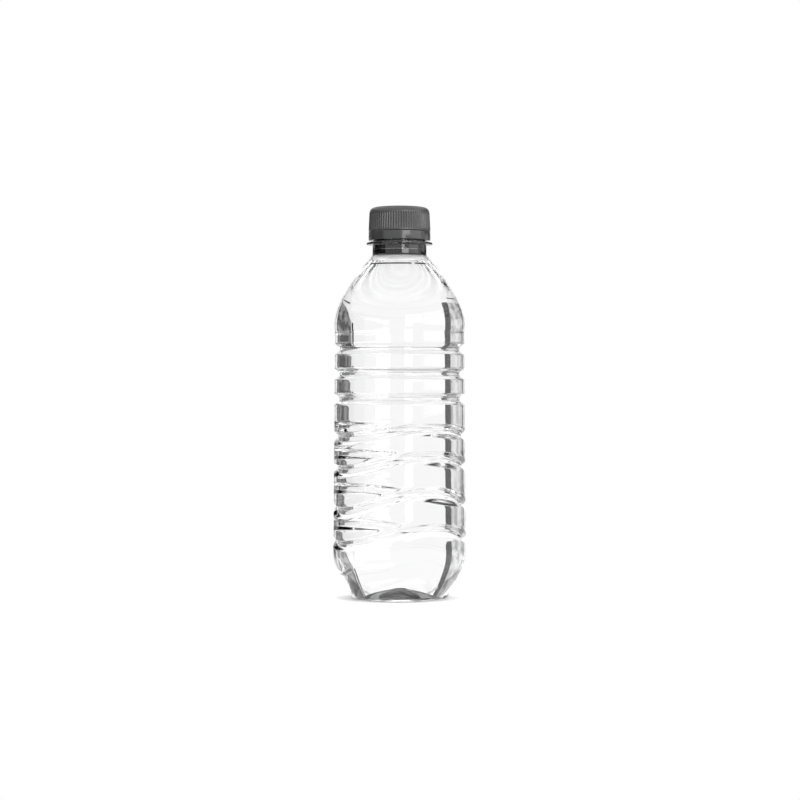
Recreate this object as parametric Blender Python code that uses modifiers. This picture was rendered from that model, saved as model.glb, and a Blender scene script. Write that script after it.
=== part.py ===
"""A clear water bottle: a blown bottle with straight and wavy grip grooves, the water in it,
a ribbed screw cap with its sealing liner, and the tamper band that stays on the neck.

Metres, +Z up. The origin is the middle of the ring that the bottle stands on, and the
front of the bottle faces -Y.
"""

import math

import bmesh
import bpy
from mathutils import Vector

# Base: a flat standing ring round a ribbed push-up
RING_INNER_RADIUS = 0.0214
RING_OUTER_RADIUS = 0.0234
RING_CORNER = 0.0009
PUSH_UP_HEIGHT = 0.0053
PUSH_UP_TURN_RADIUS = 0.0080
PUSH_UP_TURN_HEIGHT = 0.0035
BASE_RIB_COUNT = 6
BASE_RIB_DEPTH = 0.0005

# Heel and wall
HEEL_HEIGHT = 0.0255
HEEL_TURN_HEIGHT = 0.0160
HEEL_RADIUS = 0.0332
PANEL_RADIUS = 0.0324
SHOULDER_RADIUS = 0.03275
WALL_THICKNESS = 0.0004

# Wavy grip grooves, from the lowest up: the rise from the groove below, or from the heel
# for the first, and how far each swings up and down
WAVE_GROOVES = ((0.0057, 0.0046), (0.0173, 0.0055), (0.0189, 0.0039), (0.0148, 0.0031))
WAVE_COUNT = 2
WAVE_CREST_ANGLE = math.radians(28.0)
WAVE_FOOT_HEIGHT = 0.0100
WAVE_GROOVE_DEPTH = 0.0019

# Straight grooves above them
PLAIN_GROOVE_COUNT = 3
PLAIN_GROOVE_RISE = 0.01705
PLAIN_GROOVE_PITCH = 0.0124
PLAIN_GROOVE_DEPTH = 0.0024
GROOVE_WIDTH = 0.0060
GROOVE_FLOOR_WIDTH = 0.0018

# Shoulder and neck
PANEL_END_RISE = 0.0075
SHOULDER_FOOT_RISE = 0.0044
SHOULDER_TURN_RISE = 0.0128
SHOULDER_HEIGHT = 0.0352
NECK_RADIUS = 0.0135
NECK_HEIGHT = 0.0049
LEDGE_RADIUS = 0.0165
LEDGE_THICKNESS = 0.0013
LEDGE_EDGE_THICKNESS = 0.0007

# Finish: the collar, the bead that holds the tamper band, and the threaded mouth
FINISH_HEIGHT = 0.0160
COLLAR_RADIUS = 0.0129
COLLAR_HEIGHT = 0.0028
BEAD_RADIUS = 0.0140
BEAD_HEIGHT = 0.0012
BEAD_SLOPE = 0.0003
THREAD_ROOT_RADIUS = 0.01247
BORE_RADIUS = 0.01087
RIM_CHAMFER = 0.0004

# Thread, the same helix on the neck and in the cap
THREAD_PITCH = 0.0027
THREAD_TURNS = 1.8
THREAD_TOP_DROP = 0.0018
THREAD_DEPTH = 0.00125
THREAD_ROOT_WIDTH = 0.0015
THREAD_CREST_WIDTH = 0.0006
CAP_THREAD_ROOT_WIDTH = 0.0012
CAP_THREAD_CREST_WIDTH = 0.0005
THREAD_CLEARANCE = 0.00045
THREAD_SINK = 0.0003
THREAD_RUN_OUT_STEPS = 3

# Tamper band
BAND_FOOT_GAP = 0.0010
BAND_HEIGHT = 0.0043
BAND_LIP_HEIGHT = 0.0010
BAND_LIP_CLEARANCE = 0.0004
BAND_BEAD_CLEARANCE = 0.00035
TEAR_GAP = 0.0003

# Cap and liner
CAP_WALL = 0.0013
CAP_CROWN_THICKNESS = 0.0013
CAP_CORNER_RADIUS = 0.0034
CAP_FOOT_LIP = 0.0005
CAP_DRAFT = 0.0004
CAP_RIB_COUNT = 72
CAP_RIB_DEPTH = 0.0003
CAP_RIB_TOP_DROP = 0.0031
CAP_EDGE_BREAK = 0.0003
LINER_THICKNESS = 0.0010
LINER_EDGE_CLEARANCE = 0.0006
SEAT_GAP = 0.0003

# Water
WATER_LEVEL_DROP = 0.0042
WATER_GAP = 0.0006

# Facets
BOTTLE_SEGMENTS = 30
CAP_SEGMENTS = 36
THREAD_SEGMENTS = 20
MERGE_DISTANCE = 0.00001

# Heights that follow from the sizes above, each the sum of what stands below it
PLAIN_GROOVE_FOOT = HEEL_HEIGHT + sum(rise for rise, swing in WAVE_GROOVES) + PLAIN_GROOVE_RISE
PANEL_END_HEIGHT = PLAIN_GROOVE_FOOT + (PLAIN_GROOVE_COUNT - 1) * PLAIN_GROOVE_PITCH + PANEL_END_RISE
SHOULDER_FOOT_HEIGHT = PANEL_END_HEIGHT + SHOULDER_FOOT_RISE
NECK_ROOT_HEIGHT = SHOULDER_FOOT_HEIGHT + SHOULDER_HEIGHT
LEDGE_HEIGHT = NECK_ROOT_HEIGHT + NECK_HEIGHT
COLLAR_FOOT = LEDGE_HEIGHT + LEDGE_THICKNESS
BEAD_FOOT = COLLAR_FOOT + COLLAR_HEIGHT
RIM_HEIGHT = LEDGE_HEIGHT + FINISH_HEIGHT
THREAD_FOOT = RIM_HEIGHT - THREAD_TOP_DROP - THREAD_TURNS * THREAD_PITCH
THREAD_CREST_RADIUS = THREAD_ROOT_RADIUS + THREAD_DEPTH
CAP_BORE_RADIUS = max(THREAD_CREST_RADIUS + THREAD_CLEARANCE, BEAD_RADIUS)
CAP_RADIUS = CAP_BORE_RADIUS + CAP_WALL
CAP_THREAD_CREST_RADIUS = THREAD_ROOT_RADIUS + THREAD_CLEARANCE
BAND_FOOT = COLLAR_FOOT + BAND_FOOT_GAP
CAP_FOOT = BAND_FOOT + BAND_HEIGHT + TEAR_GAP
LINER_FOOT = RIM_HEIGHT + SEAT_GAP
CAP_CEILING = LINER_FOOT + LINER_THICKNESS + SEAT_GAP
CAP_TOP = CAP_CEILING + CAP_CROWN_THICKNESS
CAP_RIB_TOP = CAP_TOP - CAP_RIB_TOP_DROP
WATER_LEVEL = NECK_ROOT_HEIGHT - WATER_LEVEL_DROP


def clear_scene():
    for old in list(bpy.data.objects):
        bpy.data.objects.remove(old, do_unlink=True)


def new_collection(name):
    collection = bpy.data.collections.new(name)
    bpy.context.scene.collection.children.link(collection)
    return collection


def new_material(name, colour, roughness, alpha=1.0):
    material = bpy.data.materials.new(name)
    material.use_nodes = True
    shader = material.node_tree.nodes["Principled BSDF"]
    shader.inputs["Base Color"].default_value = (*colour, 1.0)
    shader.inputs["Roughness"].default_value = roughness
    shader.inputs["Metallic"].default_value = 0.0
    shader.inputs["Alpha"].default_value = alpha
    return material


def curve(start, turn, end, count):
    """The points after start on the smooth curve that leaves it towards turn and ends at end."""
    points = []
    for step in range(1, count + 1):
        share = step / count
        points.append(start.lerp(turn, share).lerp(turn.lerp(end, share), share))
    return points


def inset(outline, distance):
    """The outline moved to its left by distance, its ends kept on the axis if they are there."""
    moved = []
    for place, point in enumerate(outline):
        before = point - outline[place - 1] if place > 0 else outline[1] - point
        after = outline[place + 1] - point if place < len(outline) - 1 else before
        before = before.normalized()
        after = after.normalized()
        left = Vector((-before.y - after.y, before.x + after.x)).normalized()
        lean = left.dot(Vector((-before.y, before.x)))
        shifted = point + left * (distance / lean)
        if point.x == 0.0:
            shifted.x = 0.0
        moved.append(shifted)
    return moved


def turned(name, outline, segments, closed=False):
    """The mesh that an outline of (radius, height) points sweeps round the Z axis."""
    count = len(outline)
    edges = [(place, place + 1) for place in range(count - 1)]
    if closed:
        edges.append((count - 1, 0))
    mesh = bpy.data.meshes.new(name)
    mesh.from_pydata([(point.x, 0.0, point.y) for point in outline], edges, [])
    profile = bpy.data.objects.new(name, mesh)
    bpy.context.scene.collection.objects.link(profile)
    screw = profile.modifiers.new("turn", "SCREW")
    screw.axis = "Z"
    screw.steps = segments
    screw.render_steps = segments
    screw.use_merge_vertices = True
    screw.merge_threshold = MERGE_DISTANCE
    return baked(profile)


def baked(source):
    """The evaluated mesh of an object, which is then removed."""
    evaluated = source.evaluated_get(bpy.context.evaluated_depsgraph_get())
    mesh = bpy.data.meshes.new_from_object(evaluated)
    bpy.data.objects.remove(source, do_unlink=True)
    return mesh


def add_part(name, mesh, collection, material):
    mesh.name = name
    part = bpy.data.objects.new(name, mesh)
    collection.objects.link(part)
    mesh.materials.clear()
    mesh.materials.append(material)
    mesh.shade_smooth()
    mesh.set_sharp_from_angle(angle=math.radians(35.0))
    return part


def combine(part, tool, operation):
    """Fuses a tool to a part, or cuts it out, with a live Boolean."""
    boolean = part.modifiers.new(tool.name, "BOOLEAN")
    boolean.operation = operation
    boolean.solver = "EXACT"
    boolean.object = tool


def add_tool(name, mesh, collection):
    tool = bpy.data.objects.new(name, mesh)
    collection.objects.link(tool)
    tool.display_type = "WIRE"
    tool.hide_render = True
    return tool


def wall_radius(height):
    """Radius of the wall between the grooves, which draws in a little towards the shoulder."""
    share = (height - HEEL_HEIGHT) / (PANEL_END_HEIGHT - HEEL_HEIGHT)
    return HEEL_RADIUS + (PANEL_RADIUS - HEEL_RADIUS) * share


def groove(height, depth):
    half_mouth = GROOVE_WIDTH / 2
    half_floor = GROOVE_FLOOR_WIDTH / 2
    floor_radius = wall_radius(height) - depth
    return [
        Vector((wall_radius(height - half_mouth), height - half_mouth)),
        Vector((floor_radius, height - half_floor)),
        Vector((floor_radius, height + half_floor)),
        Vector((wall_radius(height + half_mouth), height + half_mouth)),
    ]


def wave_heights():
    heights = []
    height = HEEL_HEIGHT
    for rise, swing in WAVE_GROOVES:
        height += rise
        heights.append(height)
    return heights


def wall_outline():
    """Outside of the blown wall, from the middle of the base to the root of the neck."""
    points = [Vector((0.0, PUSH_UP_HEIGHT))]
    ring_inner = Vector((RING_INNER_RADIUS, 0.0))
    points += curve(points[0], Vector((PUSH_UP_TURN_RADIUS, PUSH_UP_TURN_HEIGHT)), ring_inner, 3)
    points.append(Vector((RING_OUTER_RADIUS, 0.0)))
    heel_foot = Vector((RING_OUTER_RADIUS + RING_CORNER, RING_CORNER))
    points.append(heel_foot)
    heel_turn = Vector((HEEL_RADIUS, HEEL_TURN_HEIGHT))
    points += curve(heel_foot, heel_turn, Vector((HEEL_RADIUS, HEEL_HEIGHT)), 4)
    for height in wave_heights():
        points += groove(height, WAVE_GROOVE_DEPTH)
    for number in range(PLAIN_GROOVE_COUNT):
        points += groove(PLAIN_GROOVE_FOOT + number * PLAIN_GROOVE_PITCH, PLAIN_GROOVE_DEPTH)
    points.append(Vector((PANEL_RADIUS, PANEL_END_HEIGHT)))
    shoulder_foot = Vector((SHOULDER_RADIUS, SHOULDER_FOOT_HEIGHT))
    points.append(shoulder_foot)
    shoulder_turn = Vector((SHOULDER_RADIUS, SHOULDER_FOOT_HEIGHT + SHOULDER_TURN_RISE))
    points += curve(shoulder_foot, shoulder_turn, Vector((NECK_RADIUS, NECK_ROOT_HEIGHT)), 5)
    return points


def finish_outline():
    """Outside of the neck from the ledge up to the rim, and the bore down to the ledge again."""
    ledge_slope = (LEDGE_THICKNESS - LEDGE_EDGE_THICKNESS) / 2
    bead_top = BEAD_FOOT + BEAD_HEIGHT
    return [
        Vector((NECK_RADIUS, LEDGE_HEIGHT)),
        Vector((LEDGE_RADIUS, LEDGE_HEIGHT + ledge_slope)),
        Vector((LEDGE_RADIUS, LEDGE_HEIGHT + LEDGE_THICKNESS - ledge_slope)),
        Vector((COLLAR_RADIUS, COLLAR_FOOT)),
        Vector((COLLAR_RADIUS, BEAD_FOOT)),
        Vector((BEAD_RADIUS, BEAD_FOOT + BEAD_SLOPE)),
        Vector((BEAD_RADIUS, bead_top - BEAD_SLOPE)),
        Vector((THREAD_ROOT_RADIUS, bead_top)),
        Vector((THREAD_ROOT_RADIUS, RIM_HEIGHT - RIM_CHAMFER)),
        Vector((THREAD_ROOT_RADIUS - RIM_CHAMFER, RIM_HEIGHT)),
        Vector((BORE_RADIUS, RIM_HEIGHT)),
        Vector((BORE_RADIUS, LEDGE_HEIGHT)),
    ]


def swing_at(height):
    """How far the waves carry the wall up and down at a height, fading out at both ends."""
    places = [(WAVE_FOOT_HEIGHT, 0.0)]
    for groove_height, (rise, swing) in zip(wave_heights(), WAVE_GROOVES):
        places.append((groove_height, swing))
    places.append((PLAIN_GROOVE_FOOT - GROOVE_WIDTH / 2, 0.0))
    for (low, low_swing), (high, high_swing) in zip(places, places[1:]):
        if low <= height <= high:
            return low_swing + (high_swing - low_swing) * (height - low) / (high - low)
    return 0.0


def shape_wall(mesh):
    """Carries the grooves of a turned wall up and down in waves and ribs its push-up."""
    for vertex in mesh.vertices:
        place = vertex.co
        turn = math.atan2(place.x, -place.y)
        reach = math.hypot(place.x, place.y)
        if reach < RING_INNER_RADIUS and place.z < HEEL_HEIGHT:
            fade = math.sin(math.pi * reach / RING_INNER_RADIUS)
            place.z += BASE_RIB_DEPTH * fade * math.cos(BASE_RIB_COUNT * turn)
        else:
            place.z += swing_at(place.z) * math.cos(WAVE_COUNT * (turn - WAVE_CREST_ANGLE))


def thread_mesh(name, root_radius, crest_radius, root_width, crest_width, foot_height):
    """A ridge that climbs the helix, closed at both ends, where it runs out into the wall."""
    section = [
        Vector((root_radius, -root_width / 2)),
        Vector((crest_radius, -crest_width / 2)),
        Vector((crest_radius, crest_width / 2)),
        Vector((root_radius, root_width / 2)),
    ]
    corners = len(section)
    steps = round(THREAD_TURNS * THREAD_SEGMENTS)
    edges = [(corner, (corner + 1) % corners) for corner in range(corners)]
    mesh = bpy.data.meshes.new(name)
    mesh.from_pydata([(point.x, 0.0, foot_height + point.y) for point in section], edges, [])
    profile = bpy.data.objects.new(name, mesh)
    bpy.context.scene.collection.objects.link(profile)
    screw = profile.modifiers.new("climb", "SCREW")
    screw.axis = "Z"
    screw.angle = THREAD_TURNS * 2 * math.pi
    screw.screw_offset = THREAD_TURNS * THREAD_PITCH
    screw.steps = steps
    screw.render_steps = steps
    mesh = baked(profile)
    for vertex in mesh.vertices:
        step = vertex.index // corners
        share = min(1.0, (min(step, steps - step) + 0.3) / THREAD_RUN_OUT_STEPS)
        reach = math.hypot(vertex.co.x, vertex.co.y)
        scale = (root_radius + (reach - root_radius) * share) / reach
        vertex.co.x *= scale
        vertex.co.y *= scale
    shell = bmesh.new()
    shell.from_mesh(mesh)
    bmesh.ops.holes_fill(shell, edges=shell.edges, sides=corners)
    bmesh.ops.recalc_face_normals(shell, faces=shell.faces)
    shell.to_mesh(mesh)
    shell.free()
    return mesh


def make_bottle(parts, tools):
    wall = wall_outline()
    outline = inset(wall, WALL_THICKNESS) + list(reversed(finish_outline())) + list(reversed(wall))
    mesh = turned("bottle", outline, BOTTLE_SEGMENTS)
    shape_wall(mesh)
    material = new_material("clear_pet", (0.90, 0.92, 0.93), 0.04, alpha=0.35)
    bottle = add_part("bottle", mesh, parts, material)
    ridge = thread_mesh(
        "neck_thread",
        THREAD_ROOT_RADIUS - THREAD_SINK,
        THREAD_CREST_RADIUS,
        THREAD_ROOT_WIDTH,
        THREAD_CREST_WIDTH,
        THREAD_FOOT,
    )
    combine(bottle, add_tool("neck_thread", ridge, tools), "UNION")


def make_water(parts):
    """The water, which follows the inside of the wall up to its level."""
    inside = inset(wall_outline(), WALL_THICKNESS + WATER_GAP)
    outline = [Vector((0.0, inside[-1].y))] + list(reversed(inside))
    mesh = turned("water", outline, BOTTLE_SEGMENTS)
    shape_wall(mesh)
    body = bmesh.new()
    body.from_mesh(mesh)
    geometry = body.verts[:] + body.edges[:] + body.faces[:]
    level = (0.0, 0.0, WATER_LEVEL)
    bmesh.ops.bisect_plane(
        body, geom=geometry, plane_co=level, plane_no=(0.0, 0.0, 1.0), clear_outer=True
    )
    open_edges = [edge for edge in body.edges if edge.is_boundary]
    bmesh.ops.edgeloop_fill(body, edges=open_edges)
    bmesh.ops.recalc_face_normals(body, faces=body.faces)
    body.to_mesh(mesh)
    body.free()
    add_part("water", mesh, parts, new_material("water", (0.86, 0.90, 0.92), 0.02, alpha=0.4))


def make_band(parts):
    """The band below the cap's tear line, with the lip that hooks under the neck's bead."""
    inner_radius = BEAD_RADIUS + BAND_BEAD_CLEARANCE
    lip_radius = COLLAR_RADIUS + BAND_LIP_CLEARANCE
    top = BAND_FOOT + BAND_HEIGHT
    outline = [
        Vector((CAP_RADIUS - CAP_EDGE_BREAK, top)),
        Vector((CAP_RADIUS, top - CAP_EDGE_BREAK)),
        Vector((CAP_RADIUS, BAND_FOOT + CAP_EDGE_BREAK)),
        Vector((CAP_RADIUS - CAP_EDGE_BREAK, BAND_FOOT)),
        Vector((lip_radius, BAND_FOOT)),
        Vector((lip_radius, BAND_FOOT + BAND_LIP_HEIGHT / 2)),
        Vector((inner_radius, BAND_FOOT + BAND_LIP_HEIGHT)),
        Vector((inner_radius, top)),
    ]
    mesh = turned("tamper_band", outline, BOTTLE_SEGMENTS, closed=True)
    add_part("tamper_band", mesh, parts, new_material("band_plastic", (0.045, 0.045, 0.048), 0.38))


def make_liner(parts):
    radius = CAP_BORE_RADIUS - LINER_EDGE_CLEARANCE
    top = LINER_FOOT + LINER_THICKNESS
    outline = [
        Vector((0.0, top)),
        Vector((radius, top)),
        Vector((radius, LINER_FOOT)),
        Vector((0.0, LINER_FOOT)),
    ]
    mesh = turned("cap_liner", outline, BOTTLE_SEGMENTS)
    add_part("cap_liner", mesh, parts, new_material("liner_foam", (0.75, 0.76, 0.77), 0.6))


def cap_outline():
    """The solid cap's section: crown, corner, the recess that the ribs fill, and foot lip."""
    crown_radius = CAP_RADIUS - CAP_DRAFT
    recess = CAP_RIB_DEPTH + CAP_EDGE_BREAK / 2
    corner_start = Vector((crown_radius, CAP_TOP - CAP_CORNER_RADIUS))
    corner_turn = Vector((crown_radius, CAP_TOP))
    corner_end = Vector((crown_radius - CAP_CORNER_RADIUS, CAP_TOP))
    corner = [corner_start] + curve(corner_start, corner_turn, corner_end, 3)
    return [
        Vector((0.0, CAP_TOP)),
        *reversed(corner),
        Vector((crown_radius - recess, CAP_TOP - CAP_CORNER_RADIUS)),
        Vector((CAP_RADIUS - recess, CAP_FOOT + CAP_FOOT_LIP)),
        Vector((CAP_RADIUS, CAP_FOOT + CAP_FOOT_LIP)),
        Vector((CAP_RADIUS, CAP_FOOT)),
        Vector((0.0, CAP_FOOT)),
    ]


def cap_bore_outline():
    """The hollow of the cap, flared at its mouth and run out below the cap's foot."""
    return [
        Vector((0.0, CAP_CEILING)),
        Vector((CAP_BORE_RADIUS, CAP_CEILING)),
        Vector((CAP_BORE_RADIUS, CAP_FOOT + CAP_EDGE_BREAK)),
        Vector((CAP_BORE_RADIUS + 2 * CAP_EDGE_BREAK, CAP_FOOT - CAP_EDGE_BREAK)),
        Vector((0.0, CAP_FOOT - CAP_EDGE_BREAK)),
    ]


def grip_ring_mesh():
    """The ring of fine upright ribs round the cap: a cylinder with every other edge pulled in."""
    foot = CAP_FOOT + CAP_FOOT_LIP - CAP_EDGE_BREAK
    edge_count = 2 * CAP_RIB_COUNT
    ring = bmesh.new()
    bmesh.ops.create_cone(
        ring,
        cap_ends=True,
        segments=edge_count,
        radius1=CAP_RADIUS - CAP_EDGE_BREAK / 4,
        radius2=CAP_RADIUS - CAP_DRAFT - CAP_EDGE_BREAK / 4,
        depth=CAP_RIB_TOP - foot,
    )
    bmesh.ops.translate(ring, verts=ring.verts, vec=(0.0, 0.0, (CAP_RIB_TOP + foot) / 2))
    for vertex in ring.verts:
        edge_number = round(math.atan2(vertex.co.y, vertex.co.x) / (2 * math.pi) * edge_count)
        if edge_number % 2:
            reach = math.hypot(vertex.co.x, vertex.co.y)
            vertex.co.x *= (reach - CAP_RIB_DEPTH) / reach
            vertex.co.y *= (reach - CAP_RIB_DEPTH) / reach
    mesh = bpy.data.meshes.new("grip_ring")
    ring.to_mesh(mesh)
    ring.free()
    return mesh


def make_cap(parts, tools):
    mesh = turned("screw_cap", cap_outline(), CAP_SEGMENTS)
    cap = add_part("screw_cap", mesh, parts, new_material("cap_plastic", (0.045, 0.045, 0.048), 0.38))
    combine(cap, add_tool("grip_ring", grip_ring_mesh(), tools), "UNION")
    bore = turned("cap_bore", cap_bore_outline(), CAP_SEGMENTS)
    combine(cap, add_tool("cap_bore", bore, tools), "DIFFERENCE")
    ridge = thread_mesh(
        "cap_thread",
        CAP_BORE_RADIUS + THREAD_SINK,
        CAP_THREAD_CREST_RADIUS,
        CAP_THREAD_ROOT_WIDTH,
        CAP_THREAD_CREST_WIDTH,
        THREAD_FOOT - THREAD_PITCH / 2,
    )
    combine(cap, add_tool("cap_thread", ridge, tools), "UNION")


def main():
    clear_scene()
    parts = new_collection("water_bottle")
    tools = new_collection("tools")
    make_bottle(parts, tools)
    make_water(parts)
    make_band(parts)
    make_liner(parts)
    make_cap(parts, tools)


main()
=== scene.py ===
import math
import random

import bpy
import numpy as np
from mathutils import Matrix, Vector


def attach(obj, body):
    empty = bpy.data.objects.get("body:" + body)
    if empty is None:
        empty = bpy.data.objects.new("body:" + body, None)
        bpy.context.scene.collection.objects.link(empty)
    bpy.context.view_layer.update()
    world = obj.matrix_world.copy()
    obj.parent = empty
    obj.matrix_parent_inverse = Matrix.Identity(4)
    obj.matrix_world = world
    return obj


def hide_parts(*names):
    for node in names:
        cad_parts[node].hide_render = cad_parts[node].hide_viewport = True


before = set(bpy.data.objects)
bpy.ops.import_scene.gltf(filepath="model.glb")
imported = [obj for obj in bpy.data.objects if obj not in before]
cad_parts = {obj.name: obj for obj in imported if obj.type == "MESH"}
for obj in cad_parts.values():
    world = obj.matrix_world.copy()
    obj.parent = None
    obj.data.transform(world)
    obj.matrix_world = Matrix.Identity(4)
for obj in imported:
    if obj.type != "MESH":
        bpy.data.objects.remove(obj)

bpy.ops.object.select_all(action="DESELECT")
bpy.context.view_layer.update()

MM = 0.001

# Base and heel, as (radius, height) in millimetres like every outline here
BASE_CENTRE = (0.0, 8.2)
BASE_TURN = (11.0, 6.4)
RING_INNER = (21.4, 0.0)
RING_OUTER = (23.4, 0.0)
HEEL_FOOT = (24.3, 0.9)
HEEL_TURN = (33.2, 16.0)
HEEL_TOP = (33.2, 25.5)
BASE_RIBS = 6
BASE_RIB_DEPTH = 0.5
GATE_RADIUS = 2.4
GATE_HEIGHT = 0.9
GATE_LUMP = 0.8

# Wall and its grooves: height, swing and depth of each
WAVE_GROOVES = ((31.2, 4.6, 1.9), (48.5, 5.5, 1.9), (67.4, 3.9, 1.9), (82.2, 3.1, 1.9))
PLAIN_GROOVES = ((99.25, 0.0, 2.4), (111.65, 0.0, 2.4), (124.05, 0.0, 2.4))
WAVE_FOOT = 10.0
WAVE_HEAD = 96.25
WAVE_EASE = 3.0
WAVE_CREST = math.radians(28.0)
GROOVE_HALF_MOUTH = 3.1
GROOVE_HALF_FLOOR = 0.8
PANEL_END = (32.4, 131.55)
SHOULDER_FOOT = (32.75, 135.95)
SHOULDER_TURN = (32.75, 148.75)
NECK_ROOT = (13.5, 171.15)
WALL = 0.4
THICKENING_FOOT = 170.6
THICKENING_RISE = 2.6

# Neck and finish
LEDGE_FOOT = 176.05
LEDGE_RADIUS = 16.5
LEDGE_TOP = 177.35
COLLAR_RADIUS = 12.9
BEAD_FOOT = 180.15
BEAD_TOP = 181.35
BEAD_RADIUS = 14.0
FINISH_CORNER = 0.28
THREAD_ROOT = 12.47
RIM = 192.05
BORE = 10.87

# Threads, each with the width of its ridge at root and crest
PITCH = 2.7
TURNS = 1.8
THREAD_DEPTH = 1.25
THREAD_RUN_OUT = 0.12
NECK_THREAD_FOOT = 185.39
NECK_THREAD_WIDTHS = (1.5, 0.6)
CAP_THREAD_FOOT = NECK_THREAD_FOOT - PITCH / 2
CAP_THREAD_WIDTHS = (1.2, 0.5)
CAP_THREAD_DEPTH = THREAD_DEPTH - 0.02

# Band and cap
BAND_FOOT = 178.35
BAND_TOP = 182.65
BAND_INNER = 14.35
BAND_LIP = 13.3
BAND_EDGE = 0.25
BRIDGES = 16
BRIDGE_STUB = 0.16
BRIDGE_EDGE = 0.93
CAP_FOOT = 182.95
CAP_CEILING = 193.65
CAP_TOP = 194.95
CAP_RADIUS = 15.47
CAP_DRAFT = 0.4
CAP_BORE = 14.17
CAP_CORNER = 3.4
RIB_FOOT = 183.75
RIB_TOP = 192.3
RIB_COUNT = 72
RIB_DEPTH = 0.44
RIB_SHARPNESS = 1.4
RIB_FADES = (0.35, 0.9)

# Water and the drops above it
WATER_LEVEL = 166.95
MENISCUS = 1.0
MENISCUS_REACH = 1.2
WATER_GAP = 0.03
DROPS = 34
DROP_SEED = 7
DROP_HEIGHTS = (167.3, 170.4)
DROP_RADII = (0.2, 0.55)

# Where finishes change, some of them with painted shade: radius of the base's skin, heights of the
# others
# Within this radius the base, inside and out, carries painted shade
BASE_SKIN_RADIUS = 20.0
# Heights of the dark band painted as shade at the water's edge
PAINTED_WATER_LINE = (165.7, 166.45)
MIST_TOP = NECK_ROOT[1] - 0.2
LEDGE_SKIN_TOP = BEAD_FOOT - 0.4
# Height of the pale ring painted into the neck as a highlight
NECK_HIGHLIGHT_RING = 173.7

# Heights that tell the base, the body and the shoulder apart along an outline
BASE_BELOW = 20.0
BODY_BELOW = 100.0
SHOULDER_ABOVE = 140.0

# Steps of the meshes
WALL_STEPS = 144
BAND_STEPS = 288
CAP_STEPS = RIB_COUNT * 8
RING_SPACING = 1.7
GROOVE_RINGS = 19
BASE_RINGS = 26
SHOULDER_RINGS = 34
NECK_BEND_RINGS = 5
MERGE_DISTANCE = 0.000002

# Refraction
AIR_TO_PET = 1.57
AIR_TO_WATER = 1.333
WATER_TO_PET = AIR_TO_PET / AIR_TO_WATER

# Studio, in metres, with the lens in millimetres
TABLE_RADIUS = 0.15
TABLE_HEIGHT = -0.0002
CARD_DISTANCE = 0.65
CARD_CUTS = 11
CAMERA_PLACE = (0.00025, -1.1, 0.09875)
CAMERA_LENS = 99.0
BOUNCES = 40


class Signal:
    """A socket of a material, on which sums read as plain sums and add their Math nodes."""

    def __init__(self, finish, socket):
        self.finish = finish
        self.socket = socket

    def sum(self, operation, first, second):
        return self.finish.node("ShaderNodeMath", {"operation": operation}, {0: first, 1: second})

    def __add__(self, other):
        return self.sum("ADD", self, other)

    __radd__ = __add__

    def __sub__(self, other):
        return self.sum("SUBTRACT", self, other)

    def __rsub__(self, other):
        return self.sum("SUBTRACT", other, self)

    def __mul__(self, other):
        return self.sum("MULTIPLY", self, other)

    __rmul__ = __mul__


class Finish:
    """A material of nodes round one Principled shader, whose fixed sockets are given by name."""

    def __init__(self, name, **fixed):
        self.material = bpy.data.materials.new(name)
        self.material.use_nodes = True
        self.tree = self.material.node_tree
        self.shader = self.tree.nodes["Principled BSDF"]
        for socket, value in fixed.items():
            self.feed(socket.replace("_", " "), value)
        self.place = self.node("ShaderNodeTexCoord", output="Object")

    def feed(self, socket, value):
        """Links a signal to a socket, or sets the socket to a fixed value."""
        if isinstance(socket, str):
            socket = self.shader.inputs[socket]
        if isinstance(value, Signal):
            self.tree.links.new(value.socket, socket)
        elif isinstance(value, tuple) and len(value) == 3 and socket.type == "RGBA":
            socket.default_value = (*value, 1.0)
        else:
            socket.default_value = value

    def node(self, kind, settings=None, inputs=None, output=0):
        """A node of a kind, with its settings, then its sockets' values or links."""
        node = self.tree.nodes.new(kind)
        for name, value in (settings or {}).items():
            if name == "stops":
                ramp = node.color_ramp.elements
                while len(ramp) < len(value):
                    ramp.new(0.5)
                for stop, (position, colour) in zip(ramp, value):
                    stop.position = position
                    stop.color = (*colour, 1.0)
            else:
                setattr(node, name, value)
        for name, value in (inputs or {}).items():
            self.feed(node.inputs[name], value)
        return Signal(self, node.outputs[output])

    def noise(self, scale, detail, stretch=(1.0, 1.0, 1.0)):
        placed = self.node("ShaderNodeMapping", None, {"Vector": self.place, "Scale": stretch})
        return self.node(
            "ShaderNodeTexNoise", None, {"Vector": placed, "Scale": scale, "Detail": detail}
        )

    def ramp(self, value, *stops):
        """Colours spread over a value from 0 to 1, given as (position, grey or colour) stops."""
        spread = [
            (position, shade if isinstance(shade, tuple) else (shade,) * 3)
            for position, shade in stops
        ]
        return self.node("ShaderNodeValToRGB", {"stops": spread}, {0: value})

    def height_share(self, low, high):
        """0 at one height of the piece and 1 at another, in millimetres."""
        height = self.node("ShaderNodeSeparateXYZ", None, {0: self.place}, output="Z")
        return (height - low * MM) * (1.0 / ((high - low) * MM))

    def bump(self, height, distance, strength=1.0):
        inputs = {"Height": height, "Distance": distance, "Strength": strength}
        self.feed("Normal", self.node("ShaderNodeBump", None, inputs))


def clear_finish(name, ior, colour=(1.0, 1.0, 1.0), waviness=0.000018, clearness=1.0):
    """Clear blown plastic: smooth, with the slight unevenness of a thin stretched wall."""
    finish = Finish(
        name,
        Base_Color=colour,
        Roughness=0.0,
        IOR=ior,
        Transmission_Weight=clearness,
    )
    uneven = finish.noise(260.0, 2.0) + finish.noise(90.0, 1.0) * 2.0
    finish.bump(uneven, waviness)
    return finish


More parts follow.
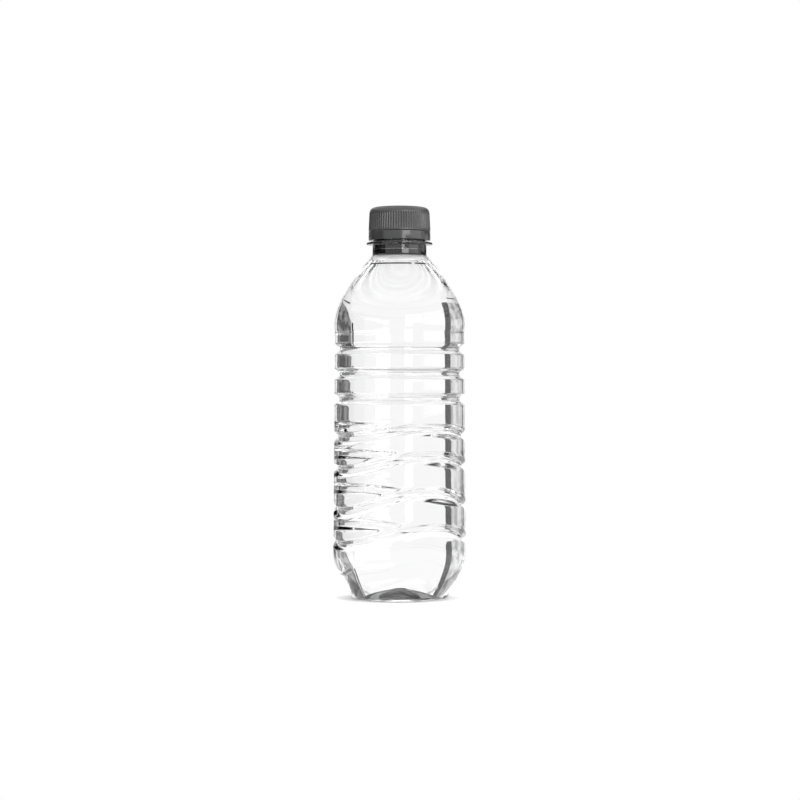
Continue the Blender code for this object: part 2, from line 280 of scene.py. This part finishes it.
def moulded_finish(name, colour, roughness):
    """Moulded plastic with a fine satin grain and faint cloudiness in its colour and gloss."""
    cloudiness = 0.12
    finish = Finish(name, Specular_IOR_Level=0.5)
    cloud = finish.noise(140.0, 3.0)
    grain = finish.noise(5200.0, 2.0)
    dark = tuple(part * (1.0 - cloudiness) for part in colour)
    light = tuple(part * (1.0 + cloudiness) for part in colour)
    finish.feed("Base Color", finish.ramp(cloud, (0.3, dark), (0.7, light)))
    finish.feed("Roughness", cloud * cloudiness + (roughness - cloudiness / 2.0))
    finish.bump(grain, 0.00002, 0.5)
    return finish


def neck_painted_shade_finish():
    """The neck's plastic, painted dark as shade for what it stands in front of, with one pale ring
    of painted highlight.
    """
    neck = clear_finish("neck_painted_shade", AIR_TO_PET)
    # Painted highlight: the pale ring stands for light caught by reflections inside the neck
    ring = neck.height_share(NECK_HIGHLIGHT_RING - 0.3, NECK_HIGHLIGHT_RING + 0.3)
    neck.feed("Base Color", neck.ramp(ring, (0.1, 0.03), (0.4, 0.95), (0.6, 0.95), (0.9, 0.03)))
    return neck


def wet_base_painted_shade_finish():
    """The base's inside, with painted shade: clear where it faces the eye, and painted dark where
    it leans away.
    """
    base = clear_finish("wet_base", WATER_TO_PET)
    # Painted shade: the facing angle, broken by streaks, darkens the colour for the dark
    # surroundings the base shows
    painted_grazing_shade = base.node("ShaderNodeLayerWeight", None, {"Blend": 0.5}, output="Facing")
    streaks = base.noise(90.0, 3.0, (1.0, 1.0, 4.0)) * 0.4
    base.feed("Base Color", base.ramp(painted_grazing_shade - streaks, (0.0, 0.9), (0.15, 0.04), (0.45, 0.01)))
    return base


def water_line_painted_shade_finish():
    """The thin dark line of painted shade at the water's edge, broken here and there."""
    line = clear_finish("water_line_painted_shade", WATER_TO_PET)
    # Painted shade: dark patches in the colour stand for the dark reflections at the water's edge
    line.feed("Base Color", line.ramp(line.noise(240.0, 3.0), (0.53, 0.0), (0.60, 1.0)))
    return line


def foam_finish():
    """The liner's pale foam, with its fine cells."""
    foam = Finish("liner_foam", Roughness=0.7)
    cells = foam.node("ShaderNodeTexVoronoi", None, {"Vector": foam.place, "Scale": 2600.0})
    pale = foam.ramp(cells, (0.0, (0.62, 0.63, 0.64)), (0.6, (0.80, 0.81, 0.82)))
    foam.feed("Base Color", pale)
    foam.bump(cells, 0.00004)
    return foam


def make_finishes():
    return {
        "pet": clear_finish("clear_pet", AIR_TO_PET, colour=(0.93, 0.931, 0.932)),
        "wet_pet": clear_finish("wet_pet", WATER_TO_PET),
        # The base's outside is tinted grey as painted shade, for the dark surroundings it shows
        "base": clear_finish("base_painted_shade", AIR_TO_PET, colour=(0.19, 0.19, 0.19)),
        # The neck's finish is painted shade with a painted highlight ring
        "neck": neck_painted_shade_finish(),
        "wet_base": wet_base_painted_shade_finish(),
        "water_line_painted_shade": water_line_painted_shade_finish(),
        "misted": clear_finish("misted_pet", AIR_TO_PET, clearness=0.2),
        "water_top": clear_finish("water_top", AIR_TO_WATER, waviness=0.00002),
        "cap": moulded_finish("cap_plastic", (0.0455, 0.0455, 0.0465), 0.26),
        "band": moulded_finish("band_plastic", (0.041, 0.041, 0.042), 0.16),
        "water": Finish(
            "water", Base_Color=(1.0, 1.0, 1.0), Roughness=0.0, IOR=AIR_TO_WATER, Alpha=0.0
        ),
        "foam": foam_finish(),
    }


def curve(start, turn, end, count):
    """The points after start on the smooth curve that leaves it towards turn and ends at end."""
    start, turn, end = Vector(start), Vector(turn), Vector(end)
    points = []
    for step in range(1, count + 1):
        share = step / count
        points.append(tuple(start.lerp(turn, share).lerp(turn.lerp(end, share), share)))
    return points


def rounded(points, corner_radius, steps=4):
    """The outline with each inner corner cut back by corner_radius and rounded."""
    path = [Vector(point) for point in points]
    smooth = [tuple(path[0])]
    for before, corner, after in zip(path, path[1:], path[2:]):
        back = min(corner_radius, 0.45 * (before - corner).length)
        ahead = min(corner_radius, 0.45 * (after - corner).length)
        start = corner.lerp(before, back / (before - corner).length)
        end = corner.lerp(after, ahead / (after - corner).length)
        smooth.append(tuple(start))
        smooth += curve(start, corner, end, steps)
    smooth.append(tuple(path[-1]))
    return smooth


def smoothstep(share):
    """Eases a share from 0 to 1, level at both ends."""
    share = np.clip(share, 0.0, 1.0)
    return share * share * (3.0 - 2.0 * share)


def first(points, test):
    """The place along an outline of its first point that passes a test."""
    return next(place for place, point in enumerate(points) if test(point))


def groove_cut(height):
    """How deep the grooves cut the wall at a height."""
    cut = np.zeros_like(height)
    for middle, _, depth in WAVE_GROOVES + PLAIN_GROOVES:
        flank = GROOVE_HALF_MOUTH - GROOVE_HALF_FLOOR
        share = (GROOVE_HALF_MOUTH - np.abs(height - middle)) / flank
        cut = cut + depth * smoothstep(share)
    return cut


def wall_heights():
    """Heights of the rings on the straight part of the wall, close together in each groove."""
    heights = set(np.arange(HEEL_TOP[1], PANEL_END[1], RING_SPACING))
    reach = GROOVE_HALF_MOUTH + 0.1
    for middle, _, _ in WAVE_GROOVES + PLAIN_GROOVES:
        heights = {height for height in heights if abs(height - middle) > reach}
        heights |= set(np.linspace(middle - reach, middle + reach, GROOVE_RINGS))
    return np.array(sorted(heights))


def outer_wall():
    """Outside of the blown wall, from the middle of the base to the root of the neck."""
    base = curve(BASE_CENTRE, BASE_TURN, RING_INNER, BASE_RINGS)
    gate = [(0.0, BASE_CENTRE[1] - GATE_HEIGHT)]
    gate += curve(gate[0], (GATE_RADIUS * 0.7, gate[0][1]), (GATE_RADIUS, base[2][1]), 5)
    points = gate + [point for point in base if point[0] > GATE_RADIUS + 0.2]
    points += curve(RING_OUTER, (RING_OUTER[0] + 0.7, 0.1), HEEL_FOOT, 4)
    points += curve(HEEL_FOOT, HEEL_TURN, HEEL_TOP, BASE_RINGS)
    heights = wall_heights()[1:]
    radii = np.interp(heights, (HEEL_TOP[1], PANEL_END[1]), (HEEL_TOP[0], PANEL_END[0]))
    points += list(zip(radii - groove_cut(heights), heights))
    middle = ((PANEL_END[0] + SHOULDER_FOOT[0]) / 2, (PANEL_END[1] + SHOULDER_FOOT[1]) / 2)
    points += curve(PANEL_END, (PANEL_END[0] - 0.05, PANEL_END[1] + 1.6), middle, 4)
    points += curve(middle, (SHOULDER_FOOT[0], SHOULDER_FOOT[1] - 1.0), SHOULDER_FOOT, 4)
    points += curve(SHOULDER_FOOT, SHOULDER_TURN, NECK_ROOT, SHOULDER_RINGS)
    root = points.pop()
    start = tuple(Vector(root).lerp(Vector(points[-1]), 0.6))
    bend = curve(start, root, (NECK_ROOT[0], NECK_ROOT[1] + 0.5), NECK_BEND_RINGS)
    return points + [start] + bend


def wall_thickness(height):
    """The wall is thin where it is blown and thickens towards the moulded neck."""
    share = (height - THICKENING_FOOT) / THICKENING_RISE
    return WALL + (NECK_ROOT[0] - BORE - WALL) * smoothstep(share)


def inset(points, thickness):
    """The outline moved to its left, by a thickness that may change with height."""
    path = np.array(points)
    along = np.gradient(path, axis=0)
    along /= np.linalg.norm(along, axis=1)[:, None]
    left = np.stack((-along[:, 1], along[:, 0]), axis=1)
    left[0] = (0.0, 1.0)
    moved = path + left * thickness(path[:, 1])[:, None]
    moved[0, 0] = 0.0
    return [tuple(point) for point in moved]


def inner_wall(outer):
    """Inside of the wall, with the gate's lump in its base, up to where the bore begins."""
    points = []
    for radius, height in inset(outer, wall_thickness):
        if height < BASE_BELOW:
            # The lump is full within 1.5 mm of the middle and gone at 4 mm
            height += GATE_LUMP * float(smoothstep(1.6 - radius / 2.5))
        below_bore = height < NECK_ROOT[1] + 1.2 and radius > BORE - 0.01
        if height < BODY_BELOW or below_bore:
            points.append((radius, height))
    return points + [(BORE, NECK_ROOT[1] + 1.8)]


def finish_outline():
    """Outside of the neck from its root to the rim, where the thread is raised later."""
    ledge = [
        (NECK_ROOT[0], NECK_ROOT[1] + 0.5),
        (NECK_ROOT[0], LEDGE_FOOT - 0.05),
        (LEDGE_RADIUS, LEDGE_FOOT + 0.1),
        (LEDGE_RADIUS, LEDGE_TOP - 0.1),
        (COLLAR_RADIUS, LEDGE_TOP + 0.05),
        (COLLAR_RADIUS, BEAD_FOOT),
        (BEAD_RADIUS, BEAD_FOOT + 0.3),
        (BEAD_RADIUS, BEAD_TOP - 0.3),
        (THREAD_ROOT, BEAD_TOP),
        (THREAD_ROOT, BEAD_TOP + 1.2),
    ]
    points = rounded(ledge, FINISH_CORNER)[1:]
    points += [(THREAD_ROOT, height) for height in np.arange(BEAD_TOP + 1.35, RIM - 0.7, 0.14)]
    points += curve((THREAD_ROOT, RIM - 0.55), (THREAD_ROOT, RIM), (THREAD_ROOT - 0.55, RIM), 4)
    points += curve((BORE + 0.4, RIM), (BORE, RIM), (BORE, RIM - 0.4), 4)
    return points


def spun(name, points, steps, finish, closed=False):
    """A line drawn through (radius, height) points and spun round the upright axis."""
    bpy.ops.curve.primitive_bezier_curve_add()
    piece = bpy.context.object
    piece.name = name
    piece.data.splines.clear()
    line = piece.data.splines.new("POLY")
    line.points.add(len(points) - 1)
    for place, (radius, height) in zip(line.points, points):
        place.co = (radius * MM, 0.0, height * MM, 1.0)
    line.use_cyclic_u = closed
    bpy.ops.object.convert(target="MESH")
    bpy.ops.object.modifier_add(type="SCREW")
    turning = piece.modifiers["Screw"]
    turning.steps = turning.render_steps = steps
    turning.use_merge_vertices = True
    turning.merge_threshold = MERGE_DISTANCE
    bpy.ops.object.modifier_apply(modifier="Screw")
    piece.data.materials.append(finish.material)
    weld(piece)
    piece.select_set(False)
    return piece


def weld(piece):
    """Merges what meets, points the faces outwards and smooths the shading."""
    bpy.context.view_layer.objects.active = piece
    bpy.ops.object.mode_set(mode="EDIT")
    bpy.ops.mesh.select_all(action="SELECT")
    bpy.ops.mesh.remove_doubles(threshold=MERGE_DISTANCE)
    bpy.ops.mesh.normals_make_consistent(inside=False)
    bpy.ops.mesh.faces_shade_smooth()
    bpy.ops.object.mode_set(mode="OBJECT")


def joined(name, sections):
    """One welded piece made of several, each of which keeps its own finish."""
    for section in sections:
        section.select_set(True)
    bpy.context.view_layer.objects.active = sections[0]
    bpy.ops.object.join()
    piece = bpy.context.object
    piece.name = name
    piece.data.name = name
    weld(piece)
    piece.select_set(False)
    return piece


def reshape(piece, change):
    """Moves a piece's points by a function of their turn, radius and height, in millimetres."""
    mesh = piece.data
    places = np.empty(len(mesh.vertices) * 3)
    mesh.vertices.foreach_get("co", places)
    places = places.reshape(-1, 3) / MM
    turn = np.arctan2(places[:, 1], places[:, 0])
    radius = np.hypot(places[:, 0], places[:, 1])
    radius, height = change(turn, radius, places[:, 2].copy())
    places[:, 0] = radius * np.cos(turn)
    places[:, 1] = radius * np.sin(turn)
    places[:, 2] = height
    mesh.vertices.foreach_set("co", (places * MM).ravel())
    mesh.update()


def swing_at(height):
    """How far the waves carry the wall up and down at a height, eased between the grooves."""
    heights = [WAVE_FOOT] + [groove[0] for groove in WAVE_GROOVES] + [WAVE_HEAD]
    swings = [0.0] + [groove[1] for groove in WAVE_GROOVES] + [0.0]
    eases = np.linspace(-WAVE_EASE, WAVE_EASE, 7)
    eased = [np.interp(height + ease, heights, swings) for ease in eases]
    return np.mean(eased, axis=0) * (height > WAVE_FOOT - 2.0) * (height < WAVE_HEAD + 2.0)


def wave(turn, radius, height):
    """Ribs the push-up of the base and carries the grooves up and down round the wall."""
    from_front = turn + math.pi / 2
    push_up = (radius < RING_INNER[0]) & (height < HEEL_TOP[1] / 3)
    ribs = np.sin(math.pi * np.clip(radius / RING_INNER[0], 0, 1)) * BASE_RIB_DEPTH
    rise = swing_at(height) * np.cos(2.0 * (from_front - WAVE_CREST))
    height = height + np.where(push_up, ribs * np.cos(BASE_RIBS * from_front), rise)
    return radius, height


def thread_rise(turn, height, foot, root_width, crest_width):
    """Height of the thread's ridge, from 0 to 1, which runs out at both ends."""
    turn = np.mod(turn, 2.0 * math.pi) / (2.0 * math.pi)
    climbed = (height - foot) / PITCH
    loop = np.round(climbed - turn)
    along = np.clip(loop + turn, 0.0, TURNS)
    off = np.abs(height - foot - along * PITCH)
    off = np.where((loop + turn > -0.02) & (loop + turn < TURNS + 0.02), off, 9.0)
    flank = (root_width - crest_width) / 2.0
    ridge = smoothstep((root_width / 2.0 - off) / flank)
    return ridge * smoothstep(np.minimum(along, TURNS - along) / THREAD_RUN_OUT)


def raise_neck_thread(turn, radius, height):
    outside = (radius > THREAD_ROOT - 0.1) & (height > BEAD_TOP + 0.6) & (height < RIM - 0.6)
    rise = thread_rise(turn, height, NECK_THREAD_FOOT, *NECK_THREAD_WIDTHS) * THREAD_DEPTH
    return radius + np.where(outside, rise, 0.0), height


def shape_cap(turn, radius, height):
    """Upright ribs round the outside and the thread inside the bore."""
    outside = radius > CAP_RADIUS - CAP_DRAFT - 1.2
    fade = smoothstep((height - RIB_FOOT) / RIB_FADES[0])
    fade = fade * smoothstep((RIB_TOP - height) / RIB_FADES[1])
    valley = (0.5 - 0.5 * np.cos(RIB_COUNT * turn)) ** RIB_SHARPNESS
    radius = radius - np.where(outside, RIB_DEPTH * valley * fade, 0.0)
    inside = np.abs(radius - CAP_BORE) < 0.05
    rise = thread_rise(turn, height, CAP_THREAD_FOOT, *CAP_THREAD_WIDTHS) * CAP_THREAD_DEPTH
    return radius - np.where(inside & (height > CAP_FOOT + 0.2), rise, 0.0), height


def break_bridges(turn, radius, height):
    """Stubs on top of the band where the bridges of its tear line broke."""
    stub = np.cos(BRIDGES * turn) > BRIDGE_EDGE
    top = (height > BAND_TOP - 0.01) & (radius < CAP_RADIUS - 0.3)
    return radius, height + np.where(stub & top, BRIDGE_STUB, 0.0)


def split_inner(inner):
    """The wall's inside as its wet base, wet wall, painted dark water line, wet edge and dry top.
    """
    radii, heights = np.array(inner).T
    upper = heights > SHOULDER_ABOVE

    def on_wall(height):
        return float(np.interp(height, heights[upper], radii[upper])), height

    line = [on_wall(height) for height in PAINTED_WATER_LINE]
    contact = on_wall(WATER_LEVEL + MENISCUS)
    wet = [point for point in inner if point[1] < contact[1] - 0.1] + [contact]
    dry = [contact] + [point for point in inner if point[1] > contact[1] + 0.1]
    dry += [(BORE, height) for height in np.linspace(NECK_ROOT[1] + 3.0, RIM - 0.4, 8)]
    base = [point for point in wet if point[1] < BASE_BELOW and point[0] < BASE_SKIN_RADIUS]
    wall = [point for point in wet[len(base) :] if point[1] < line[0][1] - 0.1]
    wall = [base[-1]] + wall + [line[0]]
    edge = [line[1]] + [point for point in wet if point[1] > line[1][1] + 0.1]
    return base, wall, line, edge, dry


def make_bottle(finishes):
    """The bottle's shell, of sections that meet and have a finish each."""
    outer = outer_wall()
    neck = finish_outline()
    wet_base, wet_wall, line, wet_edge, dry = split_inner(inner_wall(outer))
    base_end = first(outer, lambda point: point[0] > BASE_SKIN_RADIUS)
    ledge_end = first(neck, lambda point: point[1] > LEDGE_SKIN_TOP)
    mist_end = first(dry, lambda point: point[1] > MIST_TOP)
    neck_foot = len(outer) - NECK_BEND_RINGS
    sections = (
        # The base, neck, wet base and water line sections carry painted shade, the neck also a
        # painted highlight
        ("bottle_shell", outer[base_end : neck_foot + 1], "pet"),
        ("base_skin", outer[: base_end + 1], "base"),
        ("neck_skin", outer[neck_foot:] + neck[: ledge_end + 1], "neck"),
        ("thread_skin", neck[ledge_end:], "pet"),
        ("wet_base", wet_base, "wet_base"),
        ("wet_skin", wet_wall, "wet_pet"),
        ("water_line_painted_shade", line, "water_line_painted_shade"),
        ("wet_edge", wet_edge, "wet_pet"),
        ("mist_skin", dry[: mist_end + 1], "misted"),
        ("dry_skin", dry[mist_end:], "pet"),
    )
    skins = [spun(name, points, WALL_STEPS, finishes[skin]) for name, points, skin in sections]
    bottle = joined("bottle_shell", skins)
    reshape(bottle, wave)
    reshape(bottle, raise_neck_thread)
    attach(bottle, "bottle")
    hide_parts("bottle")
    return wet_base + wet_wall[1:] + wet_edge, dry


def make_water(wet, finishes):
    """The water, which fills the bottle to a hair's breadth and creeps up the wall at its edge."""
    side = inset(wet, lambda height: np.full_like(height, WATER_GAP))
    rim_radius = side[-1][0]
    across = np.concatenate((np.linspace(0.0, 4.0, 18)[1:], np.linspace(5.0, rim_radius, 9)))
    surface = [side[-1]]
    for step in across:
        height = WATER_LEVEL + MENISCUS * math.exp(-step / MENISCUS_REACH)
        surface.append((rim_radius - step, height))
    sections = [
        spun("water_fill", side, WALL_STEPS, finishes["water"]),
        spun("water_top", surface, WALL_STEPS, finishes["water_top"]),
    ]
    water = joined("water_fill", sections)
    reshape(water, wave)
    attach(water, "bottle")
    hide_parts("water")


def make_band(finishes):
    """The ring that stays on the neck below the cap's tear line, with its hook inside."""
    corners = [
        (BAND_INNER, BAND_TOP - 0.9),
        (BAND_INNER, BAND_TOP + 0.1),
        (CAP_RADIUS, BAND_TOP + 0.1),
        (CAP_RADIUS, BAND_FOOT),
        (BAND_LIP, BAND_FOOT),
        (BAND_LIP, BAND_FOOT + 0.5),
        (BAND_INNER, BAND_FOOT + 1.0),
        (BAND_INNER, BAND_TOP - 0.8),
    ]
    outline = rounded(corners, BAND_EDGE, 3)
    band = spun("tamper_ring", outline, BAND_STEPS, finishes["band"], closed=True)
    reshape(band, break_bridges)
    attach(band, "bottle")
    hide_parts("tamper_band")


def make_cap(finishes):
    """The cap: a drafted, ribbed skirt under a rounded crown, and a threaded bore."""
    crown = CAP_RADIUS - CAP_DRAFT
    corner = (crown, CAP_TOP - CAP_CORNER)
    top_edge = (crown - CAP_CORNER, CAP_TOP)
    outline = [(0.0, CAP_TOP - 0.25), (5.0, CAP_TOP - 0.22), (9.5, CAP_TOP - 0.08), top_edge]
    outline += curve(top_edge, (crown, CAP_TOP), corner, 12)
    slope = CAP_DRAFT / (corner[1] - CAP_FOOT)
    skirt = np.linspace(CAP_FOOT + 0.3, corner[1], 24)
    for height in skirt[::-1][1:]:
        outline.append((crown + (corner[1] - height) * slope, height))
    outline += curve(outline[-1], (CAP_RADIUS, CAP_FOOT), (CAP_RADIUS - 0.3, CAP_FOOT), 4)
    lip = (CAP_BORE + 0.35, CAP_FOOT)
    outline += curve(lip, (CAP_BORE, CAP_FOOT), (CAP_BORE, CAP_FOOT + 0.35), 4)
    bore = np.arange(CAP_FOOT + 0.45, CAP_CEILING - 1.2, 0.15)
    outline += [(CAP_BORE, height) for height in bore]
    outline += [(CAP_BORE, CAP_CEILING - 0.3), (CAP_BORE - 0.3, CAP_CEILING)]
    outline += [(9.0, CAP_CEILING), (0.0, CAP_CEILING)]
    cap = spun("ribbed_cap", outline, CAP_STEPS, finishes["cap"])
    reshape(cap, shape_cap)
    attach(cap, "cap")
    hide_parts("screw_cap")


def make_droplets(dry, finishes):
    """A few drops that cling to the inside of the neck above the water."""
    dice = random.Random(DROP_SEED)
    radii, heights = np.array(dry).T
    drops = []
    for _ in range(DROPS):
        turn = dice.uniform(0.0, 2.0 * math.pi)
        height = dice.uniform(*DROP_HEIGHTS)
        size = dice.uniform(*DROP_RADII)
        radius = float(np.interp(height, heights, radii)) - 0.1
        bpy.ops.mesh.primitive_uv_sphere_add(
            segments=14,
            ring_count=9,
            radius=size * MM,
            location=(radius * math.cos(turn) * MM, radius * math.sin(turn) * MM, height * MM),
            scale=(1.0, 1.0, dice.uniform(0.8, 1.3)),
        )
        drop = bpy.context.object
        drop.data.materials.append(finishes["water_top"].material)
        bpy.ops.object.transform_apply(location=True, rotation=True, scale=True)
        drop.select_set(False)
        drops.append(drop)
    droplets = joined("droplets", drops)
    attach(droplets, "bottle")


def glowing(name, strength, patches):
    """A finish that shines by itself, evenly or in soft patches, for the studio only."""
    card = Finish(
        name,
        Base_Color=(0.0, 0.0, 0.0),
        Roughness=1.0,
        Specular_IOR_Level=0.0,
        Emission_Color=(strength, strength, strength),
        Emission_Strength=1.0,
    )
    if patches:
        dark, light = strength * (1.0 - patches), strength * (1.0 + patches)
        card.feed("Emission Color", card.ramp(card.noise(16.0, 3.0), (0.4, dark), (0.6, light)))
    if strength < 1.0:
        card.material.cycles.emission_sampling = "NONE"
    return card


def make_card(
    name, start, end, low, high, shade,
    distance=CARD_DISTANCE, lit=True, shiny=True, seen=True, patches=0.0, tall=0.0,
):
    """A curved studio card round the bottle. Angles are degrees from +Y towards +X, and a lower
    edge that isn't level is given as heights evenly spaced along it. A card that is tall by a
    fixed amount follows that edge with its upper one. A card may light matt surfaces, be
    reflected in shiny ones and be seen through clear ones."""
    feet = np.atleast_1d(low)
    bpy.ops.mesh.primitive_plane_add(size=1.0)
    card = bpy.context.object
    card.name = name
    bpy.ops.object.mode_set(mode="EDIT")
    bpy.ops.mesh.select_all(action="SELECT")
    bpy.ops.mesh.subdivide(number_cuts=CARD_CUTS)
    bpy.ops.object.mode_set(mode="OBJECT")
    for corner in card.data.vertices:
        along = corner.co.x + 0.5
        turn = math.radians(start + along * (end - start))
        foot = float(np.interp(along, np.linspace(0.0, 1.0, len(feet)), feet))
        height = foot + (corner.co.y + 0.5) * (tall or high - foot)
        corner.co = (distance * math.sin(turn), distance * math.cos(turn), height)
    card.data.materials.append(glowing(name, shade, patches).material)
    card.visible_camera = False
    card.visible_shadow = False
    card.visible_diffuse = lit
    card.visible_glossy = shiny
    card.visible_transmission = seen
    card.select_set(False)


def make_cards():
    """The surroundings that the bottle shows in its refractions and reflections."""
    # Behind it to the right, seen through its left edge
    right_foot = (0.12, 0.033, -0.016, -0.045, -0.075)
    make_card("card_back_right_rim", 22.6, 23.9, 0.13, 0.42, 0.01)
    make_card("card_back_right", 24.5, 45.0, right_foot, 0.21, 0.25, patches=0.5)
    make_card("card_back_right_head", 24.5, 45.0, 0.21, 0.6, 0.03)
    make_card("card_back_right_end", 45.0, 49.5, (-0.08, -0.1), 0.30, 0.01)
    make_card("card_back_right_foot", 30.0, 47.0, (-0.035, -0.12), 0.0, 0.01, lit=False, tall=0.012)

    # Behind it to the left, seen through its right edge
    inner_foot = (-0.03, -0.022, -0.012)
    middle_foot = (-0.08, -0.06, -0.03)
    make_card("card_back_left_inner", -27.5, -22.0, inner_foot, 0.42, 0.012)
    make_card("card_back_left_middle", -50.0, -27.5, middle_foot, 0.21, 0.6, patches=0.4)
    make_card("card_back_left_head", -50.0, -27.5, 0.21, 0.5, 0.22, patches=0.8)
    make_card("card_back_left_rim", -54.0, -50.0, -0.08, 0.30, 0.03, lit=False)
    make_card("card_back_left_foot", -44.0, -30.0, (-0.12, -0.08), 0.0, 0.01, lit=False, tall=0.012)

    # At its sides, for the edges of the grooves and the cap
    make_card("card_left", -118.0, -50.0, -0.05, 0.40, 0.02, seen=False)
    make_card("card_left_narrow", -78.0, -62.0, -0.05, 0.25, 0.02, lit=False, shiny=False)
    make_card("card_front_right", 122.0, 139.0, -0.05, 0.165, 0.03, shiny=False)

    # High up, for the thin lines in the grooves and the dark base
    make_card("back_high_thin", -23.0, 22.0, 0.215, 0.23, 0.6, lit=False)
    make_card("back_high", -24.0, 24.0, 0.38, 0.55, 0.6, lit=False)
    make_card("card_right_high", 45.0, 75.0, 0.24, 0.5, 0.05, lit=False)
    make_card("card_left_high", -75.0, -50.0, 0.24, 0.5, 0.05, lit=False)
    make_card("card_top", -16.0, 16.0, 0.55, 1.3, 0.02, distance=0.66, lit=False)

    # Bright ones in front, which light the cap and shine in it
    make_card("strip", 140.0, 169.0, 0.235, 0.6, 6.0, distance=1.0)
    make_card("strip_foot", 158.0, 171.0, 0.0, 0.235, 5.4, distance=1.0)
    make_card("right_fill", 93.0, 138.0, 0.1, 0.6, 2.25, distance=0.9)


def make_softbox(name, place, aim, width, height, power):
    light = bpy.data.lights.new(name, "AREA")
    light.shape = "RECTANGLE"
    light.size = width
    light.size_y = height
    light.energy = power
    softbox = bpy.data.objects.new(name, light)
    bpy.context.scene.collection.objects.link(softbox)
    softbox.location = place
    softbox.rotation_euler = (Vector(aim) - Vector(place)).to_track_quat("-Z", "Y").to_euler()
    softbox.visible_camera = False
    softbox.visible_glossy = False


def make_table():
    bpy.ops.mesh.primitive_circle_add(
        vertices=96, radius=TABLE_RADIUS, fill_type="NGON", location=(0, 0, TABLE_HEIGHT)
    )
    floor = bpy.context.object
    floor.name = "table_top"
    paper = Finish("white_paper", Base_Color=(0.82, 0.82, 0.82), Roughness=0.9)
    paper.bump(paper.noise(900.0, 2.0), 0.00001)
    floor.data.materials.append(paper.material)
    floor.select_set(False)


def make_camera(scene):
    lens = bpy.data.cameras.new("camera")
    lens.sensor_width = 36.0
    lens.lens = CAMERA_LENS
    camera = bpy.data.objects.new("camera", lens)
    camera.location = CAMERA_PLACE
    camera.rotation_euler = (math.pi / 2, 0.0, 0.0)
    scene.collection.objects.link(camera)
    scene.camera = camera


def make_studio():
    """A white room with a white table, cards, one soft light and the photo's camera."""
    scene = bpy.context.scene
    world = bpy.data.worlds.new("white_room")
    world.use_nodes = True
    world.node_tree.nodes["Background"].inputs["Color"].default_value = (1.0, 1.0, 1.0, 1.0)
    scene.world = world
    make_table()
    make_cards()
    make_softbox("overhead", (0.0, 0.0, 1.2), (0.0, 0.0, 0.0), 1.5, 1.5, 20.0)
    make_camera(scene)
    scene.view_settings.view_transform = "Standard"
    scene.cycles.max_bounces = BOUNCES
    scene.cycles.transmission_bounces = BOUNCES
    scene.cycles.transparent_max_bounces = 2 * BOUNCES


finishes = make_finishes()
wet_outline, dry_outline = make_bottle(finishes)
make_water(wet_outline, finishes)
make_band(finishes)
make_cap(finishes)
make_droplets(dry_outline, finishes)
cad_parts["cap_liner"].material_slots[0].material = finishes["foam"].material
make_studio()
